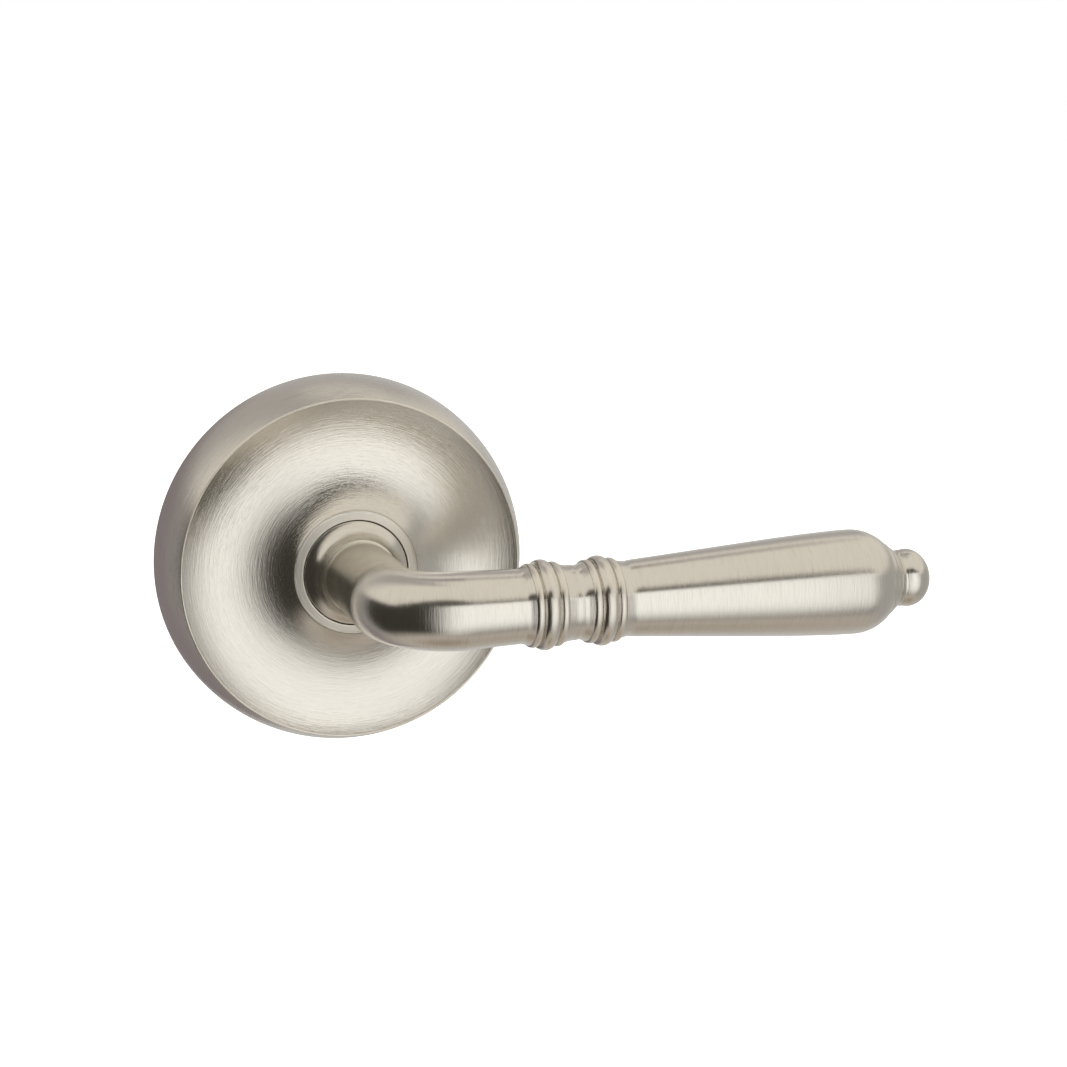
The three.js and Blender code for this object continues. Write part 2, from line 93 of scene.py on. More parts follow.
# ---------------------------------------------------------------------------------------
# Studio: a big warm ceiling light, two upright soft panels in front of the handle, a dark
# curtain on the left, grey walls on the right and a white backdrop behind.
class Wire:
    """A socket in a node tree. Sums on it add Math nodes, and node() adds any other kind."""

    def __init__(self, tree, socket=None):
        self.tree = tree
        self.socket = socket

    def node(self, kind, settings=None, inputs=None, out=0):
        """Adds a node, its settings first, then the values or links of its sockets."""
        made = self.tree.nodes.new(kind)
        for name, value in (settings or {}).items():
            setattr(made, name, value)
        for name, value in (inputs or {}).items():
            if isinstance(value, Wire):
                self.tree.links.new(value.socket, made.inputs[name])
            else:
                made.inputs[name].default_value = value
        return Wire(self.tree, made.outputs[out] if len(made.outputs) else None)

    def math(self, operation, *terms):
        terms = dict(enumerate(terms))
        return self.node("ShaderNodeMath", {"operation": operation}, terms)

    def __add__(self, other):
        return self.math("ADD", self, other)

    def __radd__(self, other):
        return self.math("ADD", other, self)

    def __sub__(self, other):
        return self.math("SUBTRACT", self, other)

    def __rsub__(self, other):
        return self.math("SUBTRACT", other, self)

    def __mul__(self, other):
        return self.math("MULTIPLY", self, other)

    def __rmul__(self, other):
        return self.math("MULTIPLY", other, self)

    def rise(self, low, high):
        """0 below low, 1 above high, and a smooth step between."""
        return self.node(
            "ShaderNodeMapRange",
            {"interpolation_type": "SMOOTHSTEP"},
            {"Value": self, "From Min": low, "From Max": high},
        )

    def within(self, low, high, soft):
        """1 between low and high, with edges as wide as soft."""
        half = soft / 2
        return self.rise(low - half, low + half) * (1 - self.rise(high - half, high + half))

    def paint(self, mask, colour):
        """This colour with another laid over it where the mask is 1."""
        over = colour if isinstance(colour, Wire) else (*colour, 1)
        return self.node(
            "ShaderNodeMix",
            {"data_type": "RGBA"},
            {0: mask, 6: self, 7: over},
            out=2,
        )

    def split(self):
        parts = self.node("ShaderNodeSeparateXYZ", None, {0: self}).socket.node
        return [Wire(self.tree, socket) for socket in parts.outputs]

    def stretch(self, x, y, z):
        """This vector with each part scaled."""
        return self.node(
            "ShaderNodeVectorMath", {"operation": "MULTIPLY"}, {0: self, 1: (x, y, z)}
        )


world = bpy.data.worlds.new("studio")
world.use_nodes = True
world.node_tree.nodes.clear()
scene.world = world
room = Wire(world.node_tree)
way_x, way_y, way_z = room.node("ShaderNodeTexCoord", out="Generated").split()
turn = room.math("ARCTAN2", way_x, 0 - way_y) * math.degrees(1)
height = room.math("ARCSINE", way_z) * math.degrees(1)

arch = room.math("COSINE", (turn + 16) * math.radians(1.12)) * 45
ceiling_edge = room.math("MAXIMUM", arch, 15)
below_ceiling = 1 - (height - ceiling_edge).rise(-3, 7)

light = room.node("ShaderNodeRGB")
light.socket.default_value = (0.79, 0.75, 0.68, 1)
light = light.paint(1 - turn.rise(-150, -115), (0.44, 0.42, 0.40))
behind_right = turn.rise(130, 150)
light = light.paint(behind_right * (1 - height.rise(38, 46)), (0.45, 0.43, 0.42))
light = light.paint(behind_right * height.within(55, 68, 6), (0.34, 0.31, 0.30))
walls = room.node("ShaderNodeRGB")
walls.socket.default_value = (0.42, 0.41, 0.39, 1)
walls = walls.paint(turn.rise(95, 150), (0.60, 0.59, 0.58))
walls = walls.paint(1 - turn.rise(-145, -112), (0.25, 0.22, 0.225))
walls = walls.paint(turn.within(-118, -30, 18), (0.045, 0.042, 0.036))
walls = walls.paint(turn.within(-30, 48, 14), (0.06, 0.056, 0.045))
light = light.paint(below_ceiling, walls)
light = light.paint(1 - height.rise(-66, -42), (0.50, 0.46, 0.41))
light = light.paint(1 - height.rise(-86, -66), (0.37, 0.31, 0.25))
shown = room.node("ShaderNodeBackground", None, {"Color": (1, 1, 1, 1)})
felt = room.node("ShaderNodeBackground", None, {"Color": light})
seen = room.node("ShaderNodeLightPath", out="Is Camera Ray")
mixed = room.node("ShaderNodeMixShader", None, {0: seen, 1: felt, 2: shown})
room.node("ShaderNodeOutputWorld", None, {"Surface": mixed})


def soft_box(name, radiance, middle, width, tall, left, right, below):
    """A light panel that stands square to the door and shines towards it. It is crisp along
    its top, and fades over a share of its size towards the left, the right and below."""
    made = bpy.data.lights.new(name, "AREA")
    made.shape = "RECTANGLE"
    made.size, made.size_y = width, tall
    made.energy = radiance * math.pi * width * tall
    made.use_nodes = True
    made.node_tree.nodes.clear()
    cloth = Wire(made.node_tree)
    u, v, _ = cloth.node("ShaderNodeNewGeometry", out="Parametric").split()
    evenness = u.rise(0, left) * (1 - u.rise(1 - right, 1)) * v.rise(0, below)
    cloth.node("ShaderNodeOutputLight", None, {"Surface": cloth.node(
        "ShaderNodeEmission", None, {"Color": (1.0, 0.995, 0.98, 1), "Strength": evenness}
    )})
    box = bpy.data.objects.new(name, made)
    box.location = middle
    box.rotation_euler = (math.radians(90), 0, 0)
    scene.collection.objects.link(box)
    return box


soft_box("front_box", 0.90, (0.160, -0.355, -0.215), 0.722, 0.774, 0.27, 0.45, 0.56)
soft_box("front_core", 0.20, (0.100, -0.350, -0.060), 0.300, 0.420, 0.45, 0.45, 0.45)

# ---------------------------------------------------------------------------------------
# Floor: a wide pale sheet, low enough for the lever to swing over it.
floor_z = -0.100
floor_half = 3.0
floor_mesh = bpy.data.meshes.new("floor")
floor_mesh.from_pydata(
    [(x * floor_half, y * floor_half, floor_z) for x, y in ((-1, -1), (1, -1), (1, 1), (-1, 1))],
    [],
    [(0, 1, 2, 3)],
)
floor = bpy.data.objects.new("floor", floor_mesh)
scene.collection.objects.link(floor)
floor.visible_glossy = False
pale = bpy.data.materials.new("floor")
pale.use_nodes = True
pale.node_tree.nodes.clear()
sheet = Wire(pale.node_tree)
specks = sheet.node("ShaderNodeTexNoise", None, {"Scale": 40.0, "Detail": 3.0})
sheet.node("ShaderNodeOutputMaterial", None, {"Surface": sheet.node(
    "ShaderNodeBsdfPrincipled",
    None,
    {
        "Base Color": (0.9, 0.9, 0.89, 1),
        "Roughness": specks * 0.1 + 0.75,
        "Emission Color": (1, 1, 1, 1),
        "Emission Strength": 1.0,
    },
)})
floor_mesh.materials.append(pale)
floor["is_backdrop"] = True

# ---------------------------------------------------------------------------------------
# Rosette: a turned brass shell with a bulging wall, a dished face and a raised land round
# the bore, plated in nickel and brushed in rings while it spun in the lathe.
rose_low, rose_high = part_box("rosette")
bush_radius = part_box("bearing_bush")[1].x / MM
rose_radius = rose_high.x / MM
land_front = rose_low.y / MM
land_step, land_rise = 0.6, 1.8
rose_depth = -land_front - land_step - land_rise
rim_radius = rose_radius * 0.915
flange_width = 3.14
bore_radius = bush_radius - flange_width
land_radius = bore_radius + 1.6
land_y = -rose_depth - land_rise
shell = 2.0
hub_back = land_front + 7.7
rose_segments = 256


def arc(centre, radius, start, end, steps):
    """Points (radius, y) of a circular arc, ends included."""
    points = []
    for i in range(steps + 1):
        a = start + (end - start) * i / steps
        points.append((centre[0] + radius * math.cos(a), centre[1] + radius * math.sin(a)))
    return points


def angle_from(centre, point):
    return math.atan2(point[1] - centre[1], point[0] - centre[0])


def eased(before, corner, after, size, steps=4):
    """A corner broken to a small round, with a point on either side that holds it tight."""
    a, p, b = Vector(before), Vector(corner), Vector(after)
    into = (a - p).normalized()
    onward = (b - p).normalized()
    size = min(size, (a - p).length * 0.45, (b - p).length * 0.45)
    start, end = p + into * size, p + onward * size
    points = [tuple(p + into * size * 1.5)]
    for i in range(steps + 1):
        t = i / steps
        points.append(tuple(start * (1 - t) ** 2 + p * 2 * t * (1 - t) + end * t * t))
    points.append(tuple(p + onward * size * 1.5))
    return points


def with_eased(points, sizes):
    """The outline with the corners whose number is in sizes broken to rounds."""
    count = len(points)
    made = []
    for i, p in enumerate(points):
        if i in sizes:
            made += eased(points[i - 1], p, points[(i + 1) % count], sizes[i])
        else:
            made.append(p)
    return made


def skin(name, rings, marks, closed=False):
    """A mesh of quads over rings of points, capped at its ends unless it closes on itself."""
    count = len(rings[0])
    faces = []
    for i in range(len(rings) if closed else len(rings) - 1):
        a, b = i * count, (i + 1) % len(rings) * count
        for j in range(count):
            k = (j + 1) % count
            faces.append((a + j, a + k, b + k, b + j))
    if not closed:
        faces.append(tuple(range(count)))
        faces.append(tuple(range((len(rings) - 1) * count, len(rings) * count)))
    mesh = bpy.data.meshes.new(name)
    mesh.from_pydata([Vector(p) * MM for ring in rings for p in ring], [], faces)
    turning = mesh.attributes.new("turning", "FLOAT_VECTOR", "POINT")
    turning.data.foreach_set("vector", [c for ring in marks for mark in ring for c in mark])
    work = bmesh.new()
    work.from_mesh(mesh)
    bmesh.ops.recalc_face_normals(work, faces=work.faces)
    work.to_mesh(mesh)
    work.free()
    return mesh


def turned(name, outline, segments, closed=True):
    """A mesh turned about the spindle axis from (radius, y) points, marked with its lathe
    directions: the cosine and sine round the axis, and the distance along the outline."""
    ways = [2 * math.pi * j / segments for j in range(segments)]
    rings, marks, run = [], [], 0
    for i, (r, y) in enumerate(outline):
        if i:
            run += math.dist(outline[i - 1], outline[i])
        rings.append([(r * math.cos(a), y, r * math.sin(a)) for a in ways])
        marks.append([(math.cos(a), math.sin(a), run) for a in ways])
    return skin(name, rings, marks, closed)


def shown_as(name, mesh, material, body, slot, *nodes, smooth=35):
    """Puts a mesh in the scene as a piece on a body, in place of CAD nodes."""
    mesh.polygons.foreach_set("use_smooth", [True] * len(mesh.polygons))
    mesh.set_sharp_from_angle(angle=math.radians(smooth))
    mesh.materials.append(material)
    piece = bpy.data.objects.new(name, mesh)
    scene.collection.objects.link(piece)
    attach(piece, body)
    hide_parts(*nodes)
    return piece


def new_material(name):
    material = bpy.data.materials.new(name)
    material.use_nodes = True
    material.node_tree.nodes.clear()
    return material, Wire(material.node_tree)


def brushed_nickel(name, line_depth, around, fineness, roughness, edges):
    """Nickel plate with fine brush lines that follow the marks of the lathe, with a painted
    highlight at the edges, which are also matt, each given by its distance along the outline and
    its width."""
    material, plate = new_material(name)
    turning = plate.node(
        "ShaderNodeAttribute", {"attribute_name": "turning"}, out="Vector"
    )
    place = plate.node("ShaderNodeTexCoord", out="Object")

    def lines_of(length, width, detail):
        return plate.node(
            "ShaderNodeTexNoise",
            None,
            {
                "Vector": turning.stretch(around * length, around * length, fineness * width),
                "Scale": 1.0,
                "Detail": detail,
                "Roughness": 0.65,
            },
        )

    broad = lines_of(1, 0.3, 3.0)
    long_lines = lines_of(1.5, 1, 3.0)
    short_lines = lines_of(4, 2.3, 2.0)
    clouds = plate.node(
        "ShaderNodeTexNoise", None, {"Vector": place, "Scale": 70.0, "Detail": 3.0}
    )
    grain = broad * 0.3 + long_lines * 0.45 + short_lines * 0.25
    bump = plate.node(
        "ShaderNodeBump", None, {"Strength": 1.0, "Distance": line_depth, "Height": grain}
    )
    tone = plate.node("ShaderNodeRGB")
    tone.socket.default_value = (0.790, 0.757, 0.694, 1)
    tone = tone.paint(clouds.rise(0.35, 0.7) * 0.5, (0.765, 0.736, 0.682))
    tone = tone.paint(short_lines.rise(0.45, 0.75) * 0.5, (0.655, 0.620, 0.560))
    tone = tone.paint(broad.rise(0.5, 0.8) * 0.35, (0.675, 0.640, 0.580))
    run = turning.split()[2]
    # Painted highlight: the edge bands below are laid on in a paler colour, and they are also
    # made rougher.
    painted_highlight_bands = 0
    for place_along, width in edges:
        painted_highlight_bands = run.within(place_along - width, place_along + width, width) + painted_highlight_bands
    painted_highlight_bands = painted_highlight_bands * (clouds * 0.6 + 0.5)
    tone = tone.paint(painted_highlight_bands, (0.88, 0.835, 0.75))
    plate.node("ShaderNodeOutputMaterial", None, {"Surface": plate.node(
        "ShaderNodeBsdfPrincipled",
        None,
        {
            "Base Color": tone,
            "Metallic": 1.0,
            "Roughness": roughness + clouds * 0.04 + long_lines * 0.08 + painted_highlight_bands * 0.25,
            "Normal": bump,
        },
    )})
    return material


def dish_line(steps):
    """The dished face from the land out to the rim, and the same line one wall behind it."""
    out = (rim_radius - land_radius) / 3
    land, rim = Vector((land_radius, land_y)), Vector((rim_radius, -rose_depth))
    leave, arrive = math.radians(44), math.radians(-28)
    hold = [
        land,
        land + Vector((math.cos(leave), math.sin(leave))) * out,
        rim - Vector((math.cos(arrive), math.sin(arrive))) * out,
        rim,
    ]
    face = curve3(*hold, steps)
    behind = []
    for i, (r, y) in enumerate(face):
        before, after = face[max(i - 1, 0)], face[min(i + 1, steps)]
        way = Vector((after[0] - before[0], after[1] - before[1])).normalized()
        behind.append((r - way.y * shell, y + way.x * shell))
    return face, behind


def curve3(a, b, c, d, steps):
    """Points of a curve from a to d that leaves towards b and arrives from c."""
    a, b, c, d = Vector(a), Vector(b), Vector(c), Vector(d)
    points = []
    for i in range(steps + 1):
        t = i / steps
        s = 1 - t
        points.append(tuple(a * s**3 + b * 3 * t * s * s + c * 3 * t * t * s + d * t**3))
    return points


def rosette_outline():
    wall_drop = rose_radius - rim_radius
    wall_r = (rose_depth**2 + wall_drop**2) / (2 * wall_drop)
    wall_c = (rose_radius - wall_r, 0)
    rim = (rim_radius, -rose_depth)
    wall = arc(wall_c, wall_r, 0, angle_from(wall_c, rim), 24)
    face, behind = dish_line(44)
    lip = 1.6
    recess = bore_radius + 1.44
    hub = recess + 2.6
    inner_wall = wall_r - shell
    behind = [p for p in behind if p[0] > hub and math.dist(p, wall_c) < inner_wall - 0.2]
    corner_y = behind[-1][1]
    corner = (wall_c[0] + math.sqrt(inner_wall**2 - corner_y**2), corner_y)
    points = wall + face[-2::-1] + [(land_radius - 0.03, land_front + 0.49)]
    rim_at, land_at = len(wall) - 1, len(points) - 1
    points += [(bore_radius, land_front), (bore_radius, land_front + lip)]
    points += [(recess, land_front + lip), (recess, hub_back)]
    points += [(hub, hub_back), (hub, behind[0][1])] + behind
    points += arc(wall_c, inner_wall, angle_from(wall_c, corner), 0, 12)
    sizes = {0: 0.25, rim_at: 0.28, land_at: 0.16, land_at + 1: 0.2, land_at + 2: 0.15}
    return with_eased(points, sizes)


def run_to(outline, spot):
    """Distance along an outline to its point nearest a spot."""
    runs = [0]
    for before, after in zip(outline, outline[1:]):
        runs.append(runs[-1] + math.dist(before, after))
    return min(zip(outline, runs), key=lambda pair: math.dist(pair[0], spot))[1]


rose_line = rosette_outline()
# Places on the rosette that get a painted highlight band: the rim, the face of the land and the
# land's edge.
rose_highlight_edges = [
    (run_to(rose_line, (rim_radius, -rose_depth)), 0.22),
    (run_to(rose_line, ((bore_radius + land_radius) / 2, land_front)), 1.0),
    (run_to(rose_line, (land_radius, land_front + 0.49)), 0.10),
]
rose_nickel = brushed_nickel("rosette_nickel", 0.000065, 2.2, 4.5, 0.14, rose_highlight_edges)
shown_as(
    "rosette_shell",
    turned("rosette_shell", rose_line, rose_segments),
    rose_nickel,
    "rose_body",
    "satin_nickel",
    "rosette",
)

# ---------------------------------------------------------------------------------------
# Bearing bush: a flanged nylon sleeve, moulded in one and pressed into the hub. The foot
# of the lever turns in it.
def finish_node(node, material):
    """Gives a CAD piece its material."""
    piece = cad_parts[node]
    for place in piece.material_slots:
        place.material = material


def moulded_nylon(name):
    material, nylon = new_material(name)
    place = nylon.node("ShaderNodeTexCoord", out="Object")
    clouds = nylon.node(
        "ShaderNodeTexNoise", None, {"Vector": place, "Scale": 240.0, "Detail": 4.0}
    )
    grain = nylon.node(
        "ShaderNodeTexNoise", None, {"Vector": place, "Scale": 5200.0, "Detail": 2.0}
    )
    bump = nylon.node(
        "ShaderNodeBump", None, {"Strength": 0.6, "Distance": 0.00002, "Height": grain}
    )
    tone = nylon.node("ShaderNodeRGB")
    tone.socket.default_value = (0.80, 0.77, 0.68, 1)
    tone = tone.paint(clouds.rise(0.4, 0.7), (0.74, 0.70, 0.59))
    nylon.node("ShaderNodeOutputMaterial", None, {"Surface": nylon.node(
        "ShaderNodeBsdfPrincipled",
        None,
        {
            "Base Color": tone,
            "Roughness": 0.42 + clouds * 0.2,
            "Subsurface Weight": 0.15,
            "Subsurface Scale": 0.001,
            "Normal": bump,
        },
    )})
    return material


bush_nylon = moulded_nylon("bush_nylon")
finish_node("bearing_bush", bush_nylon)

# ---------------------------------------------------------------------------------------
# Mounting plate: pressed from steel sheet and zinc plated. It closes the back of the
# rosette and is held by four countersunk screws.
def zinc_plated(name, bright, dull, scratch_way, roughness):
    """Bright zinc on steel: a spangle of patches, drifts of yellow passivate and scratches."""
    material, zinc = new_material(name)
    place = zinc.node("ShaderNodeTexCoord", out="Object")
    spangle = zinc.node(
        "ShaderNodeTexVoronoi", None, {"Vector": place, "Scale": 620.0}, out="Distance"
    )
    drift = zinc.node(
        "ShaderNodeTexNoise", None, {"Vector": place, "Scale": 65.0, "Detail": 5.0}
    )
    scratches = zinc.node(
        "ShaderNodeTexNoise",
        None,
        {"Vector": place.stretch(*scratch_way), "Scale": 1.0, "Detail": 4.0},
    )
    pits = zinc.node(
        "ShaderNodeTexNoise", None, {"Vector": place, "Scale": 2600.0, "Detail": 2.0}
    )
    bump = zinc.node(
        "ShaderNodeBump",
        None,
        {"Strength": 0.7, "Distance": 0.00003, "Height": scratches * 0.6 + pits * 0.4},
    )
    tone = zinc.node("ShaderNodeRGB")
    tone.socket.default_value = (*bright, 1)
    tone = tone.paint(drift.rise(0.35, 0.7), dull)
    tone = tone.paint(spangle.rise(0.1, 0.9) * 0.3, (0.44, 0.47, 0.52))
    tone = tone.paint(scratches.rise(0.58, 0.72) * 0.4, (0.72, 0.73, 0.74))
    zinc.node("ShaderNodeOutputMaterial", None, {"Surface": zinc.node(
        "ShaderNodeBsdfPrincipled",
        None,
        {
            "Base Color": tone,
            "Metallic": 1.0,
            "Roughness": roughness + drift * 0.15 - spangle * 0.05,
            "Normal": bump,
        },
    )})
    return material


plate_zinc = zinc_plated(
    "plate_zinc", (0.62, 0.63, 0.64), (0.58, 0.56, 0.49), (260, 260, 9000), 0.26
)
finish_node("mounting_plate", plate_zinc)

# ---------------------------------------------------------------------------------------
# Spring cup: die cast in zinc alloy and tumbled, so it is grey, grainy and dull, with
# brighter flecks of grit in its skin. Two screws through its ears hold it to the plate.
def cast_alloy(name):
    material, alloy = new_material(name)
    place = alloy.node("ShaderNodeTexCoord", out="Object")
    skin_marks = alloy.node(
        "ShaderNodeTexNoise", None, {"Vector": place, "Scale": 160.0, "Detail": 6.0}
    )
    grit = alloy.node(
        "ShaderNodeTexNoise", None, {"Vector": place, "Scale": 3400.0, "Detail": 3.0}
    )
    dents = alloy.node(
        "ShaderNodeTexVoronoi", None, {"Vector": place, "Scale": 900.0}, out="Distance"
    )
    bump = alloy.node(
        "ShaderNodeBump",
        None,
        {"Strength": 0.8, "Distance": 0.00005, "Height": grit * 0.7 + dents * 0.3},
    )
    tone = alloy.node("ShaderNodeRGB")
    tone.socket.default_value = (0.40, 0.41, 0.43, 1)
    tone = tone.paint(skin_marks.rise(0.4, 0.65), (0.30, 0.31, 0.33))
    tone = tone.paint(grit.rise(0.6, 0.75) * 0.5, (0.55, 0.55, 0.56))
    alloy.node("ShaderNodeOutputMaterial", None, {"Surface": alloy.node(
        "ShaderNodeBsdfPrincipled",
        None,
        {
            "Base Color": tone,
            "Metallic": 0.9,
            "Roughness": 0.45 + skin_marks * 0.2,
            "Normal": bump,
        },
    )})
    return material


cup_alloy = cast_alloy("cup_alloy")
finish_node("spring_cup", cup_alloy)

# ---------------------------------------------------------------------------------------
# Return spring: four turns of hard drawn wire round the shank, each end bent straight out.
# One end bears on the driver's tab and the other lies in a slot of the cup.
def steel(name, light_tone, dark_tone, stretch_way, roughness, metallic=1.0):
    """Bare or blackened steel, with drawn or turned lines and a film of oil in patches."""
    material, bar = new_material(name)
    place = bar.node("ShaderNodeTexCoord", out="Object")
    film = bar.node(
        "ShaderNodeTexNoise", None, {"Vector": place, "Scale": 300.0, "Detail": 4.0}
    )
    drawn = bar.node(
        "ShaderNodeTexNoise",
        None,
        {"Vector": place.stretch(*stretch_way), "Scale": 1.0, "Detail": 3.0},
    )
    bump = bar.node(
        "ShaderNodeBump", None, {"Strength": 0.6, "Distance": 0.00002, "Height": drawn}
    )
    tone = bar.node("ShaderNodeRGB")
    tone.socket.default_value = (*light_tone, 1)
    tone = tone.paint(film.rise(0.38, 0.66), dark_tone)
    tone = tone.paint(drawn.rise(0.6, 0.75) * 0.35, [min(1, 1.6 * c) for c in light_tone])
    bar.node("ShaderNodeOutputMaterial", None, {"Surface": bar.node(
        "ShaderNodeBsdfPrincipled",
        None,
        {
            "Base Color": tone,
            "Metallic": metallic,
            "Roughness": roughness + film * 0.12 + drawn * 0.08,
            "Normal": bump,
        },
    )})
    return material


wire_radius = 0.75
coil_radius = 9.419
front_leg, back_leg = -2.75, 5.75
spring_turns = 4
tab_outer, cup_outer = 11.82, 13.52
tab_half_angle, tab_gap = 14, 0.3
first_angle = 90 - tab_half_angle - math.degrees((tab_gap + wire_radius) / coil_radius)
spring_steps = 400
bend_share = 0.03

spring_line = []
for i in range(spring_steps + 1):
    t = i / spring_steps
    wound = min(1, max(0, (t - bend_share) / (1 - 2 * bend_share)))
    y = front_leg + (back_leg - front_leg) * wound
    a = math.radians(first_angle + 360 * spring_turns * wound)
    out_front = max(0, 1 - t / bend_share) * (tab_outer - coil_radius)
    out_back = max(0, 1 - (1 - t) / bend_share) * (cup_outer - coil_radius)
    r = coil_radius + out_front + out_back
    spring_line.append((r * math.cos(a), y, r * math.sin(a)))

wire = bpy.data.curves.new("return_spring_wire", "CURVE")
wire.dimensions = "3D"
wire.bevel_depth = wire_radius * MM
wire.bevel_resolution = 4
wire.use_fill_caps = True
line = wire.splines.new("POLY")
line.points.add(len(spring_line) - 1)
for point, spot in zip(line.points, spring_line):
    point.co = (*[c * MM for c in spot], 1)
spring_steel = steel(
    "spring_steel", (0.34, 0.35, 0.37), (0.20, 0.20, 0.21), (900, 9000, 900), 0.24
)
wire.materials.append(spring_steel)
spring = bpy.data.objects.new("return_spring_wire", wire)
scene.collection.objects.link(spring)
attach(spring, "rose_body")
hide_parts("return_spring")

# ---------------------------------------------------------------------------------------
# Plate screws: four countersunk screws of blackened steel from the back of the plate into
# the bosses of the rosette.
screw_black = steel(
    "screw_black", (0.075, 0.075, 0.080), (0.045, 0.045, 0.050), (2500, 2500, 2500), 0.34, 0.9
)
screw_radius, screw_head, key_radius, key_depth = 1.2, 2.5, 0.85, 0.9
screw_segments = 48


def socket_screw(name, tip, head):
    """A countersunk screw along the spindle's way, with a hexagon sunk in its head."""
    ways = [2 * math.pi * (j + 0.5) / screw_segments for j in range(screw_segments)]
    sixth = math.pi / 3
    rings, marks = [], []

    def add(y, radii):
        rings.append([(r * math.cos(a), y, r * math.sin(a)) for r, a in zip(radii, ways)])
        marks.append([(math.cos(a), math.sin(a), y) for a in ways])

    def hexagon(across):
        return [across * math.cos(sixth / 2) / math.cos(a % sixth - sixth / 2) for a in ways]

    def circle(radius):
        return [radius] * screw_segments

    add(head - key_depth - 0.15, circle(key_radius * 0.3))
    add(head - key_depth, hexagon(key_radius))
    add(head - 0.1, hexagon(key_radius))
    add(head, hexagon(key_radius + 0.1))
    add(head, circle(screw_head - 0.16))
    add(head - 0.05, circle(screw_head - 0.04))
    add(head - 0.16, circle(screw_head))
    add(head - 1.3, circle(screw_radius + 0.04))
    pitch = 0.6
    for i in range(int((head - 1.7 - tip - 0.6) / pitch)):
        y = head - 1.7 - i * pitch
        add(y, circle(screw_radius))
        add(y - 0.08, circle(screw_radius))
        add(y - 0.3, circle(screw_radius - 0.2))
    add(tip + 0.4, circle(screw_radius - 0.1))
    add(tip, circle(screw_radius - 0.45))
    return skin(name, rings, marks)


def moved(mesh, x, y, z):
    """The same mesh shifted by so many millimetres."""
    mesh.transform(Matrix.Translation(Vector((x, y, z)) * MM))
    return mesh


for number in range(1, 5):
    low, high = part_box(f"plate_screw_{number}")
    middle = (low + high) / 2 / MM
    shown_as(
        f"plate_screw_black_{number}",
        moved(
            socket_screw(f"plate_screw_black_{number}", low.y / MM, high.y / MM),
            middle.x, 0, middle.z,
        ),
        screw_black,
        "rose_body",
        "dark_screw",
        f"plate_screw_{number}",
        smooth=25,
    )

# ---------------------------------------------------------------------------------------
# Cup screws: two short zinc plated screws that hold the ears of the cup to the plate.
fixing_zinc = zinc_plated(
    "fixing_zinc", (0.60, 0.61, 0.62), (0.55, 0.53, 0.46), (2000, 5000, 2000), 0.24
)
for number in (1, 2):
    finish_node(f"cup_screw_{number}", fixing_zinc)

# ---------------------------------------------------------------------------------------
# Stop pins: two hardened steel pins through the wall of the cup, one at each end of the
# driver's swing.
pin_steel = steel("pin_steel", (0.48, 0.48, 0.49), (0.36, 0.36, 0.37), (700, 7000, 700), 0.20)
for number in (1, 2):
    finish_node(f"stop_pin_{number}", pin_steel)

# ---------------------------------------------------------------------------------------
# Posts: two turned steel sleeves, zinc plated and tapped inside, that take the through
# bolts from the other side of the door.
post_zinc = zinc_plated(
    "post_zinc", (0.64, 0.65, 0.66), (0.60, 0.58, 0.50), (400, 6500, 400), 0.22
)
post_radius, head_radius, tap_radius = 3.2, 4.0, 1.75
post_head_front, post_head_back = -3.45, -2.35
tap_pitch, tap_depth, tap_turns, tap_length = 0.7, 0.24, 20, 20


def post_outline(end):
    """Head, long sleeve with a broken end, and a tapped hole with its thread cut in."""
    turned_line = [
        (0.02, post_head_front),
        (head_radius - 0.3, post_head_front),
        (head_radius, post_head_front + 0.3),
        (head_radius, post_head_back),
        (post_radius, post_head_back),
        (post_radius, end - 0.5),
        (post_radius - 0.5, end),
        (tap_radius + 0.3, end),
    ]
    threads = []
    for i in range(tap_turns):
        y = end - 0.4 - i * tap_pitch
        threads += [(tap_radius, y), (tap_radius, y - 0.1)]
        threads += [(tap_radius + tap_depth, y - tap_pitch / 2 - 0.05)]
    bottom = end - tap_length
    sizes = {1: 0.1, 3: 0.08, 5: 0.12, 6: 0.12}
    return with_eased(turned_line, sizes) + threads + [(tap_radius, bottom), (0.02, bottom + 0.8)]


for side in ("left", "right"):
    low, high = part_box(f"post_{side}")
    middle = (low + high) / 2 / MM
    shown_as(
        f"post_sleeve_{side}",
        moved(
            turned(f"post_sleeve_{side}", post_outline(high.y / MM), 64, closed=False),
            middle.x, 0, middle.z,
        ),
        post_zinc,
        "rose_body",
        "zinc_plate",
        f"post_{side}",
    )

# ---------------------------------------------------------------------------------------
# Lever: one brass forging, from the shank in the bearing through the neck and elbow to the
# arm, turned with beads, grip and button end, then nickel plated and brushed all over.
lever_low, lever_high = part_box("lever")
reach = lever_high.x / MM
grip_radius = 9.08
projection = -lever_low.y / MM - grip_radius
neck_radius = 6.28
arm_radius = neck_radius - 0.07
bend_radius = 10.0
bend_start = projection - bend_radius
bend_length = bend_radius * math.pi / 2
bend_end = bend_start + bend_length
foot_radius = bore_radius - 0.16
shank_radius = 7.669
shank_end = lever_high.y / MM
shoulder = -6.4
socket_half = 4.15
socket_front = -12.0
groove = (9.5, 10.9)
flat_from, flat_to, flat_x = -6.1, -3.5, 6.87
first_beads, second_beads, bead_step = 0.2534, 0.359, 2.1
lever_segments = 160


def curve2(a, b, c, steps):
    """Points of a curve from a to c that leans towards b."""
    a, b, c = Vector(a), Vector(b), Vector(c)
    ts = [i / steps for i in range(steps + 1)]
    return [tuple(a * (1 - t) ** 2 + b * 2 * t * (1 - t) + c * t * t) for t in ts]


def bead(x, half, low, high, steps):
    """Half an ellipse standing on the arm."""
    points = []
    for i in range(steps + 1):
        a = math.pi - math.pi * i / steps
        points.append((low + (high - low) * math.sin(a), x + half * math.cos(a)))
    return points


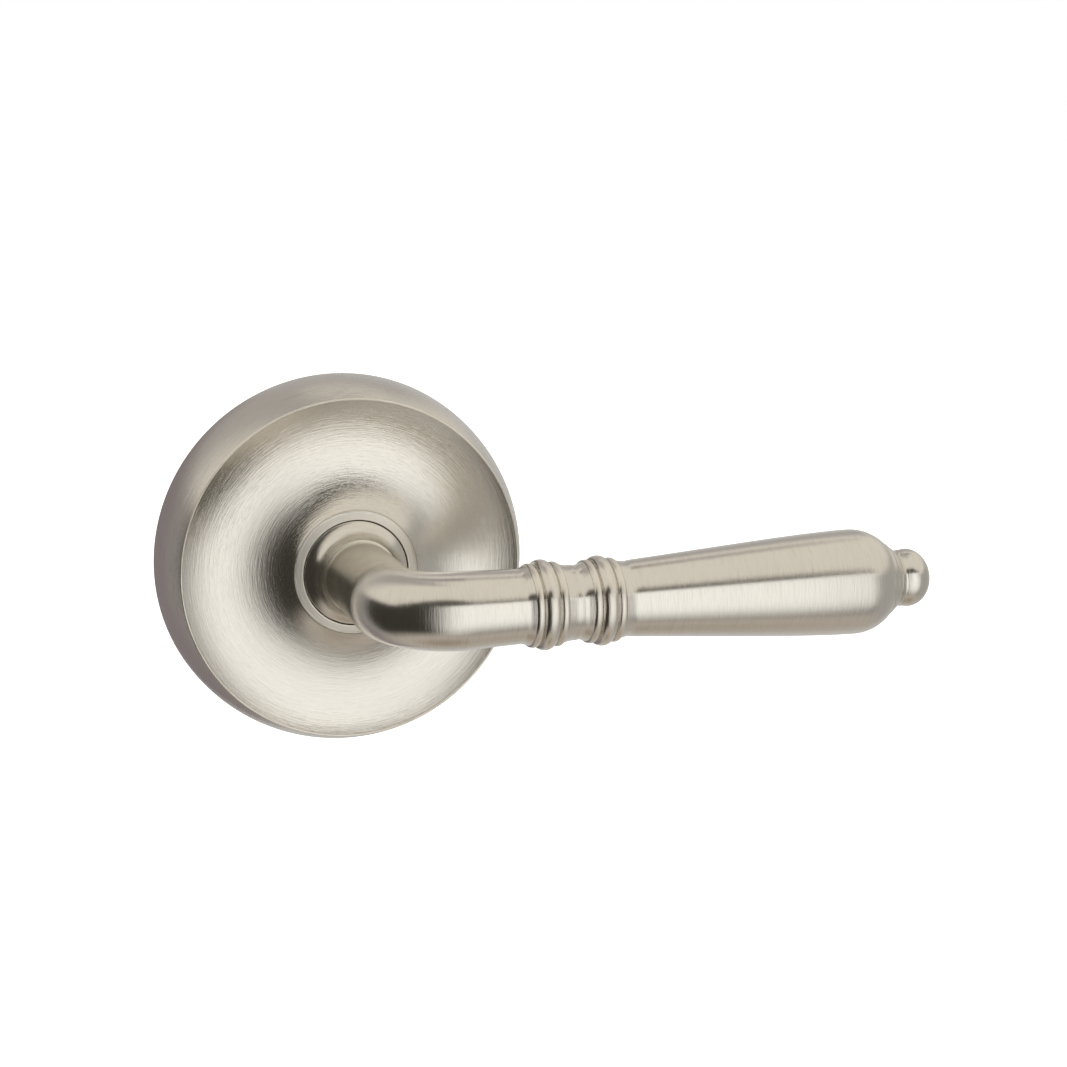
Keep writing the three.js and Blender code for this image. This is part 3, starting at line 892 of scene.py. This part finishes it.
def bead_group(x):
    """Three beads, the middle one wide and high, with the bar drawn in on both sides."""
    base = arm_radius
    return (
        eased((base + 0.12, x - 6), (base, x - 3.9), (base + 0.4, x - 2.8), 0.4)
        + bead(x - bead_step, 0.7, base + 0.4, base + 0.82, 10)
        + bead(x, 1.3, base + 0.5, base + 1.38, 16)
        + bead(x + bead_step, 0.7, base + 0.45, base + 0.9, 10)
        + eased((base + 0.45, x + 2.8), (base + 0.12, x + 4.3), (base + 0.14, x + 6), 0.4)
    )


def grip_outline():
    start = (arm_radius + 0.28, reach - 54.8)
    crown = (grip_radius, reach - 14.6)
    swell = curve3(
        start, (start[0] + 1.05, start[1] + 15), (crown[0] - 0.05, crown[1] - 9), crown, 56
    )
    dome_r = 8.2
    collar = reach - 9.3
    dome = arc(
        (grip_radius - dome_r, crown[1]), dome_r, 0, math.asin((collar - crown[1]) / dome_r), 18
    )
    steps = [
        (grip_radius * 0.755, collar + 0.15),
        (grip_radius * 0.7, reach - 8.2),
        (grip_radius * 0.66, reach - 8.0),
        (grip_radius * 0.61, reach - 7.2),
        (grip_radius * 0.525, reach - 6.4),
        (grip_radius * 0.515, reach - 5.9),
        (grip_radius * 0.545, reach - 5.4),
    ]
    ball_r, ball_half = grip_radius * 0.556, 3.9
    ball = []
    for i in range(23):
        a = -0.4 + (math.pi / 2 + 0.4) * i / 22.3
        ball.append((ball_r * math.cos(a), reach + (math.sin(a) - 1) * ball_half))
    collars = with_eased(
        [dome[-1], *steps, ball[0]], {i: 0.22 for i in range(1, len(steps) + 1)}
    )
    return swell + dome[1:-1] + collars + ball[1:]


def bar_outline():
    """The whole bar as if it were straight: (radius, distance in front of the door)."""
    foot = (foot_radius, -land_front - 0.2)
    flare = curve2(
        foot,
        (neck_radius + 0.9, -land_front + 0.9),
        (neck_radius + 0.35, -land_front + 3.4),
        18,
    )
    base = with_eased(
        [(foot_radius, -shoulder), *flare, (neck_radius, -land_front + 3.6),
         (neck_radius + 0.01, -land_front + 4.4)],
        {1: 0.12, len(flare): 0.1, len(flare) + 1: 0.08},
    )
    elbow = curve2(
        (neck_radius + 0.3, bend_start),
        (neck_radius + 0.15, bend_start + bend_length / 2),
        (neck_radius + 0.28, bend_end),
        56,
    )
    lead = curve2(base[-1], (neck_radius + 0.14, bend_start - 8), elbow[0], 30)
    arm_shift = bend_end - bend_radius
    first = bead_group(reach * first_beads)
    second = bead_group(reach * second_beads)
    link = curve2((elbow[-1][0], bend_radius), (arm_radius + 0.14, 16.0), first[0], 10)
    between = curve2(first[-1], (arm_radius + 0.08, first[-1][1] + 0.8), second[0], 4)
    arm = link[1:] + first[1:] + between[1:-1] + second + grip_outline()
    return base[:-1] + lead + elbow[1:] + [(r, x + arm_shift) for r, x in arm]


def bent(r, run, a):
    """Where a point of the straight bar lies once the bar is bent from -Y round to +X."""
    x, z = r * math.cos(a), r * math.sin(a)
    beyond = run - bend_start
    if beyond < 0:
        return x, -run, z
    way = min(beyond / bend_radius, math.pi / 2)
    along = max(0, beyond - bend_length)
    arm = bend_radius - x
    return bend_radius - arm * math.cos(way) + along, -bend_start - arm * math.sin(way), z


def lever_mesh():
    ways = [2 * math.pi * j / lever_segments for j in range(lever_segments)]
    rings, marks = [], []

    def add(points, run):
        rings.append(points)
        marks.append([(math.cos(a), math.sin(a), run) for a in ways])

    def square(y, half):
        reach_out = [half / max(abs(math.cos(a)), abs(math.sin(a))) for a in ways]
        add([(s * math.cos(a), y, s * math.sin(a)) for a, s in zip(ways, reach_out)], -y)

    def round_ring(r, y, widest=99):
        points = []
        for a in ways:
            x = max(-widest, min(widest, r * math.cos(a)))
            points.append((x, y, r * math.sin(a)))
        add(points, -y)

    square(socket_front, socket_half)
    square(shank_end - 0.35, socket_half)
    square(shank_end - 0.02, socket_half + 0.3)
    round_ring(shank_radius - 0.42, shank_end)
    round_ring(shank_radius - 0.4, shank_end)
    round_ring(shank_radius - 0.1, shank_end - 0.22)
    round_ring(shank_radius, shank_end - 0.45)
    round_ring(shank_radius, groove[1])
    round_ring(shank_radius - 0.7, groove[1] - 0.02)
    round_ring(shank_radius - 0.7, groove[0] + 0.02)
    round_ring(shank_radius, groove[0])
    round_ring(shank_radius, flat_to + 0.02)
    round_ring(shank_radius, flat_to, flat_x)
    round_ring(shank_radius, flat_from, flat_x)
    round_ring(shank_radius, flat_from - 0.02)
    round_ring(shank_radius, shoulder)
    for r, run in bar_outline():
        add([bent(r, run, a) for a in ways], run)
    return skin("lever_bar", rings, marks)


middles = [reach * first_beads, reach * second_beads]
crests = [
    x + step + bend_end - bend_radius
    for x in middles
    for step in (-bead_step, 0, bead_step)
]
# Places on the lever that get a painted highlight band: the crests of the beads and the step at
# the neck.
lever_highlight_edges = [(x, 0.35) for x in crests] + [(-land_front + 3.5, 0.12)]
lever_nickel = brushed_nickel("lever_nickel", 0.000050, 0.7, 5.0, 0.12, lever_highlight_edges)
shown_as(
    "lever_bar",
    lever_mesh(),
    lever_nickel,
    "lever_body",
    "satin_nickel",
    "lever",
)

# ---------------------------------------------------------------------------------------
# Thrust washer: a slip of nylon between the shoulder of the lever and the driver.
finish_node("thrust_washer", bush_nylon)

# ---------------------------------------------------------------------------------------
# Spring driver: a stamped steel disc, zinc plated, keyed to two flats on the shank. Its
# tab pushes the spring and meets the stop pins.
driver_zinc = zinc_plated(
    "driver_zinc", (0.61, 0.62, 0.63), (0.55, 0.53, 0.47), (300, 300, 8000), 0.26
)
finish_node("spring_driver", driver_zinc)

# ---------------------------------------------------------------------------------------
# Wave washer: thin spring steel with three waves, which takes up the end play.
washer_steel = steel(
    "washer_steel", (0.38, 0.38, 0.39), (0.24, 0.24, 0.25), (600, 600, 7000), 0.22
)
finish_node("wave_washer", washer_steel)

# ---------------------------------------------------------------------------------------
# Retaining ring: an open ring of blued spring steel snapped into the groove of the shank.
ring_steel = steel(
    "ring_steel", (0.20, 0.20, 0.22), (0.12, 0.12, 0.14), (800, 800, 8000), 0.26
)
finish_node("retaining_ring", ring_steel)

# ---------------------------------------------------------------------------------------
# Spindle: a cold drawn square steel bar, zinc plated, pushed into the socket of the lever.
# Drawing leaves fine lines along its faces.
spindle_zinc = zinc_plated(
    "spindle_zinc", (0.60, 0.61, 0.62), (0.54, 0.52, 0.46), (7000, 60, 7000), 0.24
)
spindle_low, spindle_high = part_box("spindle")
spindle_half = spindle_high.x / MM


def square_bar(name, front, end, half):
    """A square bar with broken edges, tapered over its last few millimetres."""
    count = 64
    ways = [2 * math.pi * (j + 0.5) / count for j in range(count)]
    rings, marks = [], []
    for y, share in (
        (front, 0.93),
        (front + 0.25, 1.0),
        (end - 3.3, 1.0),
        (end - 3.0, 0.99),
        (end - 2.7, 0.97),
        (end - 0.25, 0.79),
        (end, 0.73),
    ):
        ring = []
        for a in ways:
            c, s = math.cos(a), math.sin(a)
            power = 16
            r = half * share / (abs(c) ** power + abs(s) ** power) ** (1 / power)
            ring.append((r * c, y, r * s))
        rings.append(ring)
        marks.append([(math.cos(a), math.sin(a), y) for a in ways])
    return skin(name, rings, marks)


shown_as(
    "spindle_bar",
    square_bar("spindle_bar", spindle_low.y / MM, spindle_high.y / MM, spindle_half),
    spindle_zinc,
    "lever_body",
    "zinc_plate",
    "spindle",
    smooth=20,
)

# ---------------------------------------------------------------------------------------
# Grub screw: a headless blackened screw in the shank that clamps the spindle.
finish_node("grub_screw", screw_black)

# ---------------------------------------------------------------------------------------
# Bounds of the finished model: every shown piece but the floor.
low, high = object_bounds()
